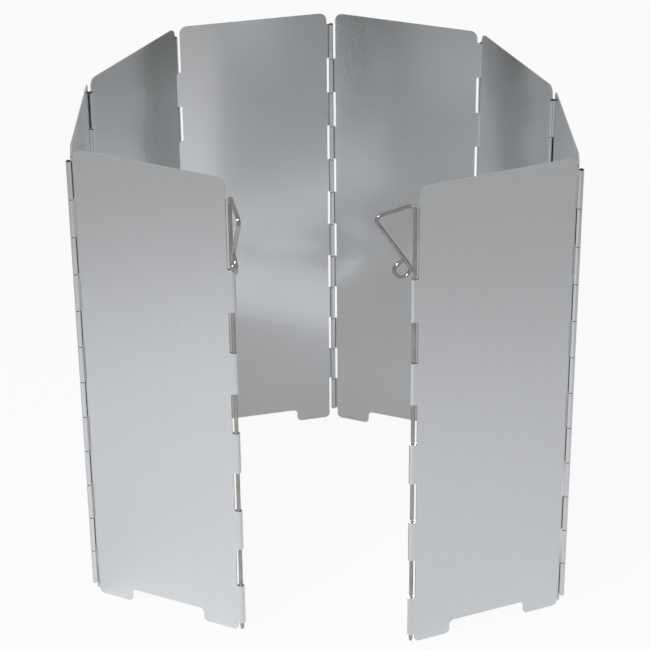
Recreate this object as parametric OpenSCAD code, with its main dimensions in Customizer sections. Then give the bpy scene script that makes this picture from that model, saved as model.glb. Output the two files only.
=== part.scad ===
// Folding stove windscreen: sheet plates on rolled, pinned hinges, with a wire peg down each free edge.

/* [Plates] */
// Height from the feet to the top edge
plate_height = 240; // [200:5:280]
// Width between the two side edges of one plate
plate_width = 77; // [65:0.5:90]
// Thickness of the sheet
sheet_thickness = 0.5; // [0.4:0.05:0.7]
// Radius of the two top corners
corner_radius = 3.8; // [1:0.1:5]
// Width of each foot
foot_width = 18.5; // [12:0.5:25]
// Height of the cut-out between the feet
notch_height = 7; // [4:0.5:12]
// Radius of the corners of the feet and of the cut-out
foot_radius = 2.5; // [0.5:0.1:4]

/* [Hinges] */
// Knuckles in one hinge, those of both plates together
knuckle_count = 12; // [6:2:16]
// Gap between one knuckle and the next
knuckle_gap = 0.4; // [0.2:0.05:1]
// Bare edge above and below a hinge
hinge_margin = 6; // [5:0.5:12]
// Slot between a knuckle and the plate edge that it turns against
slot_width = 0.95; // [0.7:0.05:1.5]
// Radius at the root of each knuckle's tab
root_radius = 0.5; // [0.1:0.05:0.6]
// Angle that a knuckle's lip comes down past the level of its axis
lip_angle = 20; // [0:5:30]
// Diameter of the hinge pins
pin_diameter = 1.3; // [1:0.05:1.8]
// Clearance all round a hinge pin
pin_clearance = 0.05; // [0.03:0.01:0.15]
// Depth of a pin's ends inside its hinge
pin_recess = 1; // [0.5:0.1:3]

/* [Peg guides] */
// Knuckles that guide one peg
guide_count = 5; // [3:1:6]
// Length of one guide knuckle
guide_length = 21.2; // [15:0.1:25]
// Bare edge above the highest guide
guide_top_margin = 45; // [42:1:60]
// Bare edge below the lowest guide
guide_bottom_margin = 4.2; // [4:0.1:10]
// Gap between a peg and the plate edge that it runs along
edge_gap = 0.45; // [0.4:0.05:2]
// Depth of the crimp round the lowest guide
crimp_depth = 0.2; // [0.05:0.05:0.2]
// Height of the crimp
crimp_height = 1.6; // [0.8:0.1:3]

/* [Ground pegs] */
// Diameter of the peg wire
wire_diameter = 1.9; // [1.6:0.1:2.4]
// Clearance all round the wire in its guides
wire_clearance = 0.2; // [0.15:0.05:0.5]
// Height of the peg's point above the ground
point_height = 0.3; // [0:0.1:3]
// Length of the taper at the point
point_length = 1.5; // [0.5:0.1:5]
// Diameter of the blunt end of the point
point_diameter = 1.4; // [0.5:0.1:1.7]
// Height of the handle, from the foot of its curl to its top
handle_height = 36; // [31:0.2:40]
// Height of the handle's foot above the highest guide
handle_lift = 0.6; // [0.2:0.1:4]
// Reach of the handle out from the leg's axis
handle_reach = 18.2; // [16:0.2:24]
// Slope of the handle's top bar, down from the leg
bar_slope = 13; // [0:1:25]
// Radius of the handle's two bends, to the middle of the wire
bend_radius = 2.8; // [1.6:0.1:3.4]
// Radius of the closing curl, to the middle of the wire
curl_radius = 3.6; // [3:0.1:5]
// Gap from the curl to the leg and the slanting side
curl_gap = 0.2; // [0.1:0.05:0.5]

/* [Set-up] */
// Heading of plate 1, the left front one, away from its free edge
first_heading = 154.5; // [140:0.5:170]
// Inward bend at hinge 1
bend_angle_1 = 65.3; // [50:0.1:75]
// Inward bend at hinge 2
bend_angle_2 = 27.7; // [15:0.1:40]
// Inward bend at hinge 3
bend_angle_3 = 47.7; // [35:0.1:55]
// Inward bend at hinge 4
bend_angle_4 = 35.7; // [25:0.1:45]
// Inward bend at hinge 5
bend_angle_5 = 46; // [35:0.1:55]
// Inward bend at hinge 6
bend_angle_6 = 19.5; // [10:0.1:30]
// Inward bend at hinge 7
bend_angle_7 = 69.8; // [55:0.1:80]
// Outward turn of the left handle from the plane of its plate
left_handle_turn = 50; // [-60:1:90]
// Outward turn of the right handle from the plane of its plate
right_handle_turn = -10; // [-60:1:90]

/* [Hidden] */
$fn = 48;

bends = [bend_angle_1, bend_angle_2, bend_angle_3, bend_angle_4, bend_angle_5, bend_angle_6, bend_angle_7];
hinge_count = len(bends);
plate_count = hinge_count + 1;
// How far a cut runs past the edge that it starts from
cut_overlap = 1;

half_sheet = sheet_thickness / 2;
notch_width = plate_width - 2 * foot_width;
lowest_tab = min(hinge_margin, guide_bottom_margin) - root_radius;
top_fillet = min(corner_radius, hinge_margin - root_radius);
foot_fillet = min(foot_radius, notch_height / 2, foot_width / 2, lowest_tab);

// The sheet is rolled three quarters of a turn from its own plane, and then on by the lip's angle.
roll_turn = 270 + lip_angle;
knuckle_radius = pin_diameter / 2 + pin_clearance + sheet_thickness;
hinge_reach = knuckle_radius + slot_width;
hinge_offset = knuckle_radius - half_sheet;
knuckle_length = (plate_height - 2 * hinge_margin + knuckle_gap) / knuckle_count - knuckle_gap;
tab_fillet = min(root_radius, slot_width);

wire_radius = wire_diameter / 2;
guide_radius = wire_radius + wire_clearance + sheet_thickness;
guide_reach = wire_radius + edge_gap;
guide_offset = guide_radius - half_sheet;
guide_top = plate_height - guide_top_margin;
guide_pitch = (guide_top - guide_length - guide_bottom_margin) / (guide_count - 1);
guide_tops = [for (i = [0 : guide_count - 1]) guide_top - i * guide_pitch];

// Hinges with odd numbers are rolled to the outside of the ring, and the others to the inside.
outside = 1;
inside = -1;
function roll_side(hinge) = hinge % 2 == 1 ? outside : inside;

// A plate's right edge has the first, third, fifth... knuckle from the top, and its neighbour the rest.
function knuckle_tops(first) =
    [for (i = [first : 2 : knuckle_count - 1])
        plate_height - hinge_margin - i * (knuckle_length + knuckle_gap)];

// Plan of the ring, one plate after the other, from the free edge of plate 1
function unit(angle) = [cos(angle), sin(angle)];
function heading(k) = k == 1 ? first_heading : heading(k - 1) - bends[k - 2];
function along(k) = unit(heading(k));
function outward(k) = unit(heading(k) + 90);
function plate_start(k) =
    k == 1
        ? [0, 0]
        : hinge_axis(k - 1) + hinge_reach * along(k) - roll_side(k - 1) * hinge_offset * outward(k);
function hinge_axis(j) =
    plate_start(j) + (plate_width + hinge_reach) * along(j) + roll_side(j) * hinge_offset * outward(j);

left_axis = plate_start(1) - guide_reach * along(1) + inside * guide_offset * outward(1);
right_axis =
    plate_start(plate_count)
    + (plate_width + guide_reach) * along(plate_count)
    + inside * guide_offset * outward(plate_count);
left_handle_heading = heading(1) + 180 - left_handle_turn;
right_handle_heading = heading(plate_count) + right_handle_turn;

// Circles that bound the ring in plan, each as a centre and a radius, so that it stands about the origin
handle_tip = handle_reach - wire_radius;
bounds = concat(
    [for (j = [1 : hinge_count]) [hinge_axis(j), knuckle_radius]],
    [for (axis = [left_axis, right_axis]) [axis, guide_radius]],
    [[left_axis + handle_tip * unit(left_handle_heading), wire_radius]],
    [[right_axis + handle_tip * unit(right_handle_heading), wire_radius]]
);
function low(i) = min([for (circle = bounds) circle[0][i] - circle[1]]);
function high(i) = max([for (circle = bounds) circle[0][i] + circle[1]]);
ring_centre = [low(0) + high(0), low(1) + high(1)] / 2;

// Handle of a peg, in its own upright plane: distance out from the leg, then height
handle_base = guide_top + handle_lift;
bend_centre = [bend_radius, handle_base + handle_height - wire_radius - bend_radius];
bar_length = (handle_tip - 2 * bend_radius) / cos(bar_slope);
corner_centre = bend_centre + bar_length * unit(-bar_slope);
curl_centre = [wire_diameter + curl_gap + curl_radius, handle_base + wire_radius + curl_radius];
// The slanting side runs from the corner's bend, which turns one way, to the curl, which turns the other.
slant = curl_centre - corner_centre;
slant_sway = asin((bend_radius + curl_radius) / norm(slant));
slant_length = norm(slant) * cos(slant_sway);
slant_slope = slant_sway - atan2(slant[1], slant[0]);
corner_turn = slant_slope - bar_slope;
// After three quarters of a turn the curl's end runs straight back to the slanting side.
curl_turn = 270;
curl_tail = curl_radius - wire_radius - curl_gap;
// The top bar is a hair thinner than the wire and runs a little way into the bends at its ends.
bar_thinning = 0.01;
bar_overlap = 0.1;

// The waste between two square edges and the arc that rounds their corner
module spandrel(radius) {
    difference() {
        translate([-cut_overlap, -cut_overlap]) square(radius + cut_overlap);
        translate([radius, radius]) circle(radius);
    }
}

module both_ends(width) {
    children();
    translate([width, 0]) mirror([1, 0]) children();
}

module notch_outline() {
    difference() {
        translate([0, -cut_overlap]) square([notch_width, notch_height + cut_overlap]);
        both_ends(notch_width) translate([0, notch_height]) mirror([0, 1]) spandrel(foot_fillet);
    }
    both_ends(notch_width) mirror([1, 0]) spandrel(foot_fillet);
}

// Tabs that reach out from a straight edge at the height axis, each with its two root fillets
module edge_tabs(tops, length, reach) {
    for (top = tops) {
        translate([-cut_overlap, top - length]) square([cut_overlap + reach, length]);
        translate([0, top]) spandrel(tab_fillet);
        translate([0, top - length]) mirror([0, 1]) spandrel(tab_fillet);
    }
}

module left_tabs(k) {
    if (k == 1) edge_tabs(guide_tops, guide_length, guide_reach);
    else edge_tabs(knuckle_tops(1), knuckle_length, hinge_reach);
}

module right_tabs(k) {
    if (k == plate_count) edge_tabs(guide_tops, guide_length, guide_reach);
    else edge_tabs(knuckle_tops(0), knuckle_length, hinge_reach);
}

// The flat sheet of one plate as it is cut, before its tabs are rolled
module blank_outline(k) {
    difference() {
        square([plate_width, plate_height]);
        translate([foot_width, 0]) notch_outline();
        both_ends(plate_width) {
            spandrel(foot_fillet);
            translate([0, plate_height]) mirror([0, 1]) spandrel(top_fillet);
        }
    }
    mirror([1, 0]) left_tabs(k);
    translate([plate_width, 0]) right_tabs(k);
}

// A rolled tab about its own axis: side is the face of the sheet that it is rolled to.
module roll(side) {
    mirror([0, side == inside ? 1 : 0, 0]) rotate([0, 0, -90])
        rotate_extrude(angle = roll_turn) children();
}

module plain_wall(radius, length) {
    translate([radius - sheet_thickness, 0]) square([sheet_thickness, length]);
}

// The wall of a roll with one crimp half way up
module crimped_wall(radius, length) {
    bore = radius - sheet_thickness;
    low_rim = (length - crimp_height) / 2;
    high_rim = (length + crimp_height) / 2;
    polygon([
        [bore, 0], [radius, 0],
        [radius, low_rim], [radius - crimp_depth, length / 2], [radius, high_rim],
        [radius, length], [bore, length],
        [bore, high_rim], [bore - crimp_depth, length / 2], [bore, low_rim]
    ]);
}

module hinge_knuckles(first, side) {
    for (top = knuckle_tops(first))
        translate([hinge_reach, side * hinge_offset, top - knuckle_length])
            roll(side) plain_wall(knuckle_radius, knuckle_length);
}

module peg_guides(side) {
    for (i = [0 : guide_count - 1])
        translate([guide_reach, side * guide_offset, guide_tops[i] - guide_length])
            roll(side) {
                if (i < guide_count - 1) plain_wall(guide_radius, guide_length);
                else crimped_wall(guide_radius, guide_length);
            }
}

module place(spot) {
    translate([spot[0] - ring_centre[0], spot[1] - ring_centre[1], 0]) children();
}

module plate(k) {
    color("silver") place(plate_start(k)) rotate([0, 0, heading(k)]) {
        rotate([90, 0, 0]) linear_extrude(sheet_thickness, center = true) blank_outline(k);
        // The half turn of a left edge swaps inside and outside.
        rotate([0, 0, 180]) {
            if (k == 1) peg_guides(-inside);
            else hinge_knuckles(1, -roll_side(k - 1));
        }
        translate([plate_width, 0, 0]) {
            if (k == plate_count) peg_guides(inside);
            else hinge_knuckles(0, roll_side(k));
        }
    }
}

module hinge_pin(j) {
    end_height = hinge_margin + pin_recess;
    color("dimgray") place(hinge_axis(j)) translate([0, 0, end_height])
        cylinder(h = plate_height - 2 * end_height, d = pin_diameter);
}

// A bend of the wire in the upright plane, swept from one angle to another about its centre
module wire_arc(centre, radius, from, turn) {
    translate([centre[0], 0, centre[1]]) rotate([90, 0, 0]) rotate([0, 0, from])
        rotate_extrude(angle = turn) translate([radius, 0]) circle(wire_radius);
}

module peg_leg() {
    leg_foot = point_height + point_length;
    translate([0, 0, point_height]) cylinder(h = point_length, d1 = point_diameter, d2 = wire_diameter);
    translate([0, 0, leg_foot]) cylinder(h = bend_centre[1] - leg_foot, r = wire_radius);
    wire_arc(bend_centre, bend_radius, 90 - bar_slope, 90 + bar_slope);
}

module handle_bar() {
    translate([bend_centre[0], 0, bend_centre[1]]) rotate([0, bar_slope, 0])
        translate([-bar_overlap, 0, bend_radius]) rotate([0, 90, 0])
            cylinder(h = bar_length + 2 * bar_overlap, r = wire_radius - bar_thinning);
}

// The corner, the slanting side and the curl, drawn with the slanting side upright and then turned
module handle_return() {
    translate([corner_centre[0], 0, corner_centre[1]]) rotate([0, slant_slope - 90, 0]) {
        wire_arc([0, 0], bend_radius, 0, corner_turn);
        translate([bend_radius, 0, -slant_length]) cylinder(h = slant_length, r = wire_radius);
        wire_arc([bend_radius + curl_radius, -slant_length], curl_radius, 180, curl_turn);
        translate([bend_radius + curl_radius, 0, curl_radius - slant_length]) rotate([0, -90, 0])
            cylinder(h = curl_tail, r = wire_radius);
    }
}

module peg_wire() {
    peg_leg();
    handle_bar();
    handle_return();
}

module ground_peg_left() {
    color("gainsboro") place(left_axis) rotate([0, 0, left_handle_heading]) peg_wire();
}

module ground_peg_right() {
    color("gainsboro") place(right_axis) rotate([0, 0, right_handle_heading]) peg_wire();
}

for (k = [1 : plate_count])
    plate(k);
for (j = [1 : hinge_count])
    hinge_pin(j);
ground_peg_left();
ground_peg_right();
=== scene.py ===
import math

import bmesh
import bpy
from mathutils import Euler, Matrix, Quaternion, Vector


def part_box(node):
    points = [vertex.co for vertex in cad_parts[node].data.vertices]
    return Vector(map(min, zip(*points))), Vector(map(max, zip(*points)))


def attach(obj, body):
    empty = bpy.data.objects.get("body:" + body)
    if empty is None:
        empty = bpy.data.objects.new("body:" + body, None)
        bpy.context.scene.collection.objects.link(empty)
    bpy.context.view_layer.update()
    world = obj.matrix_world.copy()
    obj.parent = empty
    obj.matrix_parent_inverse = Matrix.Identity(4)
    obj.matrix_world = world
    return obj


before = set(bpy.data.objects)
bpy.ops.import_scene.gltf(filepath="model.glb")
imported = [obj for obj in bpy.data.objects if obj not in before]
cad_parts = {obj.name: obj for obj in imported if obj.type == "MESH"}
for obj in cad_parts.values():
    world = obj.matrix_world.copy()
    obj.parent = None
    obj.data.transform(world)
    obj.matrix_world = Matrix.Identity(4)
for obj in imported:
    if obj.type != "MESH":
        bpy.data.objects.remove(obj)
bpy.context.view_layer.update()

MM = 0.001
UP = Vector((0, 0, 1))

# The photograph's camera: its place in metres, its angles in degrees and its lens on a 36 mm sensor
CAMERA_PLACE = (0.0001, -1.0260, 0.6607)
CAMERA_DOWN = 27.93
CAMERA_ROLL = -0.52
CAMERA_LENS = 129.2
SENSOR_WIDTH = 36.0

# The floor, in metres, and how far it is lifted to white for the camera and in the metal.
# With the camera's lift in the metal too, the sheet would be as white as the background.
FLOOR_HALF_WIDTH = 6.0
FLOOR_LIFT = 0.94
MIRRORED_LIFT = 0.22

# The light: the lamp's power in watts, its cone in degrees, its radius and places in metres
WORLD_STRENGTH = 0.42
KEY_POWER = 85.0
KEY_CONE = 38.0
KEY_EDGE_SOFTNESS = 1.0
KEY_RADIUS = 0.12
KEY_PLACE = (-0.75, -0.95, 1.05)
KEY_TARGET = (0.02, -0.02, 0.0)

# The sheet's surface, and how far its painted crevice shade reaches, in metres
WAVE_DEPTH = 0.0003
SPECKLE_DEPTH = 0.0000015
CREVICE_SHADE_REACH = 0.0015

# The part of a pattern, and of the open sky over a crevice, that is spread over the whole range; the crevice
# part sets the painted shade
PATTERN_MIDDLE = {"From Min": 0.3, "From Max": 0.7}
CREVICE_SHADE_RANGE = {"From Min": 0.3, "From Max": 0.8}
CREVICE_SHADE_SAMPLES = 8

# The colour sockets of a Mix node, which share their names with its other sockets
MIX_SHARE = 0
MIX_FIRST = 6
MIX_SECOND = 7
MIX_COLOUR = 2

# A pin's upset head, as distances in metres from its axis and up from the pin's flat end
HEAD_PROFILE = [
    (0.0, 0.0),
    (0.00065, 0.0),
    (0.00065, 0.001),
    (0.00105, 0.001),
    (0.00105, 0.0012),
    (0.0008, 0.0014),
    (0.0, 0.0014),
]
HEAD_STEPS = 24
HEAD_WELD = 0.01 * MM
HINGE_COUNT = 7


def linear(hex_colour):
    """An sRGB hex colour as linear red, green and blue, with full alpha."""
    values = [int(hex_colour[i:i + 2], 16) / 255 for i in (0, 2, 4)]
    return [v / 12.92 if v <= 0.04045 else ((v + 0.055) / 1.055) ** 2.4 for v in values] + [1.0]


def add(material, kind, settings=None, links=None):
    """One node in a material: its settings, its socket values and the sockets that feed it."""
    tree = material.node_tree
    node = tree.nodes.new(kind)
    for name, value in (settings or {}).items():
        if isinstance(name, str) and hasattr(node, name):
            setattr(node, name, value)
        else:
            node.inputs[name].default_value = value
    for name, source in (links or {}).items():
        tree.links.new(source, node.inputs[name])
    return node


def new_material(name):
    material = bpy.data.materials.new(name)
    material.use_nodes = True
    material.node_tree.nodes.clear()
    return material


def pattern(material, size_mm, stretch=1.0, detail=2.0):
    """Noise in the piece's own coordinates: its grain size in mm, drawn out along Z by stretch."""
    place = add(material, "ShaderNodeTexCoord")
    step = 1 / (size_mm * MM)
    scaled = add(material, "ShaderNodeMapping", {"Scale": (step, step, step / stretch)}, {
        "Vector": place.outputs["Object"]})
    return add(material, "ShaderNodeTexNoise", {"Scale": 1.0, "Detail": detail}, {
        "Vector": scaled.outputs[0]}).outputs[0]


def two_tone(material, noise, first, second):
    """A colour that wanders between two hex colours with a pattern."""
    share = add(material, "ShaderNodeMapRange", PATTERN_MIDDLE, {"Value": noise})
    mix = add(material, "ShaderNodeMix", {
        "data_type": "RGBA", MIX_FIRST: linear(first), MIX_SECOND: linear(second)}, {
        MIX_SHARE: share.outputs[0]})
    return mix.outputs[MIX_COLOUR]


def rolled_aluminium():
    """Cold-rolled aluminium sheet: a soft mirror, speckled, with a faint upright grain and a slight wave.

    The narrow gaps between the knuckles and inside the rolls are darker: painted shade, taken from the
    occlusion within each piece.
    """
    material = new_material("rolled_aluminium_sheet")
    speckle = pattern(material, 0.55)
    grain = pattern(material, 0.6, stretch=40.0)
    wave = pattern(material, 45.0, stretch=1.6, detail=1.0)
    unshaded_tone = two_tone(material, grain, "F4F5F6", "F7F8F8")
    # Painted shade: where little open sky is found near the surface, the sheet's colour turns towards dark
    # 5A5753
    crevice_occlusion = add(material, "ShaderNodeAmbientOcclusion", {
        "samples": CREVICE_SHADE_SAMPLES, "only_local": True, "Distance": CREVICE_SHADE_REACH})
    unshaded_share = add(material, "ShaderNodeMapRange", CREVICE_SHADE_RANGE, {"Value": crevice_occlusion.outputs["AO"]})
    # 5A5753 is the painted shade colour in the crevices
    tone = add(material, "ShaderNodeMix", {"data_type": "RGBA", MIX_FIRST: linear("5A5753")}, {
        MIX_SHARE: unshaded_share.outputs[0], MIX_SECOND: unshaded_tone})
    rough = add(material, "ShaderNodeMapRange", {**PATTERN_MIDDLE, "To Min": 0.06, "To Max": 0.26}, {
        "Value": speckle})
    bent = add(material, "ShaderNodeBump", {"Strength": 1.0, "Distance": WAVE_DEPTH}, {"Height": wave})
    grained = add(material, "ShaderNodeBump", {"Strength": 1.0, "Distance": SPECKLE_DEPTH}, {
        "Height": speckle, "Normal": bent.outputs[0]})
    shader = add(material, "ShaderNodeBsdfPrincipled", {"Metallic": 1.0}, {
        "Base Color": tone.outputs[MIX_COLOUR],
        "Roughness": rough.outputs[0],
        "Normal": grained.outputs[0]})
    add(material, "ShaderNodeOutputMaterial", links={"Surface": shader.outputs[0]})
    return material


def drawn_steel():
    """Bright drawn steel wire: nearly a mirror, with fine die lines along it."""
    material = new_material("bright_drawn_steel")
    lines = pattern(material, 0.25, stretch=60.0)
    patches = pattern(material, 6.0)
    tone = two_tone(material, patches, "B2AEA9", "C6C2BD")
    rough = add(material, "ShaderNodeMapRange", {**PATTERN_MIDDLE, "To Min": 0.05, "To Max": 0.14}, {
        "Value": lines})
    shader = add(material, "ShaderNodeBsdfPrincipled", {"Metallic": 1.0}, {
        "Base Color": tone, "Roughness": rough.outputs[0]})
    add(material, "ShaderNodeOutputMaterial", links={"Surface": shader.outputs[0]})
    return material


def pin_steel():
    """Plain drawn steel, dark and dull, for the pins and their heads; on the heads the dark tone is also
    painted shade of the knuckles' bores.
    """
    material = new_material("dark_pin_steel_and_painted_bore_shade")
    patches = pattern(material, 3.0)
    # Dark tone: the steel's own colour, and on the heads also painted shade of the bores
    tone = two_tone(material, patches, "3E3A36", "55504A")
    rough = add(material, "ShaderNodeMapRange", {**PATTERN_MIDDLE, "To Min": 0.3, "To Max": 0.5}, {
        "Value": pattern(material, 0.5)})
    shader = add(material, "ShaderNodeBsdfPrincipled", {"Metallic": 1.0}, {
        "Base Color": tone, "Roughness": rough.outputs[0]})
    add(material, "ShaderNodeOutputMaterial", links={"Surface": shader.outputs[0]})
    return material


def dress(node_object, material):
    node_object.data.materials.clear()
    node_object.data.materials.append(material)


def new_piece(name, shape, material):
    mesh = bpy.data.meshes.new(name)
    shape.to_mesh(mesh)
    shape.free()
    piece = bpy.data.objects.new(name, mesh)
    bpy.context.collection.objects.link(piece)
    dress(piece, material)
    return piece


def pin_head(number, pin_node, material):
    """The dark upset end of a hinge pin, which sits on the top knuckle and fills its bore down to the pin;
    its dark tone is partly painted shade of the bore.
    """
    vertices = pin_node.data.vertices
    middle = sum((v.co for v in vertices), Vector()) / len(vertices)
    pin_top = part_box("hinge_pin_%d" % number)[1][2]
    shape = bmesh.new()
    rim = [shape.verts.new((middle.x + out, middle.y, pin_top + up)) for out, up in HEAD_PROFILE]
    edges = [shape.edges.new(pair) for pair in zip(rim, rim[1:])]
    bmesh.ops.spin(
        shape, geom=rim + edges, cent=(middle.x, middle.y, pin_top), axis=UP,
        angle=2 * math.pi, steps=HEAD_STEPS, use_merge=True)
    bmesh.ops.remove_doubles(shape, verts=shape.verts, dist=HEAD_WELD)
    bmesh.ops.recalc_face_normals(shape, faces=shape.faces)
    head = new_piece("pin_head_%d" % number, shape, material)
    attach(head, "plate_%d" % number)


def studio_floor():
    """A plain pale floor, lifted towards white where it is seen; it keeps a faint shadow."""
    material = new_material("white_studio_floor")
    paper = add(material, "ShaderNodeBsdfDiffuse", {"Color": linear("B4B6BA")})
    white = add(material, "ShaderNodeEmission", {"Color": linear("FFFFFF"), "Strength": 1.0})
    path = add(material, "ShaderNodeLightPath")
    direct = add(material, "ShaderNodeMath", {"operation": "MULTIPLY", 1: FLOOR_LIFT}, {
        0: path.outputs["Is Camera Ray"]})
    mirrored = add(material, "ShaderNodeMath", {"operation": "MULTIPLY", 1: MIRRORED_LIFT}, {
        0: path.outputs["Is Glossy Ray"]})
    lift = add(material, "ShaderNodeMath", {"operation": "MAXIMUM"}, {
        0: direct.outputs[0], 1: mirrored.outputs[0]})
    mixed = add(material, "ShaderNodeMixShader", links={
        "Fac": lift.outputs[0], 1: paper.outputs[0], 2: white.outputs[0]})
    add(material, "ShaderNodeOutputMaterial", links={"Surface": mixed.outputs[0]})
    shape = bmesh.new()
    bmesh.ops.create_grid(shape, x_segments=1, y_segments=1, size=FLOOR_HALF_WIDTH)
    floor = new_piece("floor", shape, material)


def studio_light():
    """A plain white world and one soft lamp, to the left of the camera."""
    world = bpy.data.worlds.new("studio")
    world.use_nodes = True
    background = world.node_tree.nodes["Background"]
    background.inputs["Color"].default_value = linear("FFFFFF")
    background.inputs["Strength"].default_value = WORLD_STRENGTH
    bpy.context.scene.world = world
    lamp = bpy.data.lights.new("softbox", "SPOT")
    lamp.energy = KEY_POWER
    lamp.spot_size = math.radians(KEY_CONE)
    lamp.spot_blend = KEY_EDGE_SOFTNESS
    lamp.shadow_soft_size = KEY_RADIUS
    key = bpy.data.objects.new("softbox", lamp)
    key.location = KEY_PLACE
    key.rotation_euler = (Vector(KEY_TARGET) - key.location).to_track_quat("-Z", "Y").to_euler()
    bpy.context.collection.objects.link(key)


def photo_camera():
    data = bpy.data.cameras.new("photo_camera")
    data.sensor_width = SENSOR_WIDTH
    data.lens = CAMERA_LENS
    camera = bpy.data.objects.new("photo_camera", data)
    tilt = Euler((math.radians(90 - CAMERA_DOWN), 0, 0)).to_quaternion()
    camera.rotation_mode = "QUATERNION"
    camera.rotation_quaternion = tilt @ Quaternion(UP, math.radians(CAMERA_ROLL))
    camera.location = CAMERA_PLACE
    bpy.context.collection.objects.link(camera)
    bpy.context.scene.camera = camera


sheet = rolled_aluminium()
wire = drawn_steel()
pin = pin_steel()
for name, node_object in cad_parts.items():
    if name.startswith("plate"):
        dress(node_object, sheet)
    elif name.startswith("hinge_pin"):
        dress(node_object, pin)
    else:
        dress(node_object, wire)

studio_floor()
for number in range(1, HINGE_COUNT + 1):
    pin_head(number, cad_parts["hinge_pin_%d" % number], pin)
studio_light()
photo_camera()
bpy.context.scene.view_settings.view_transform = "Standard"
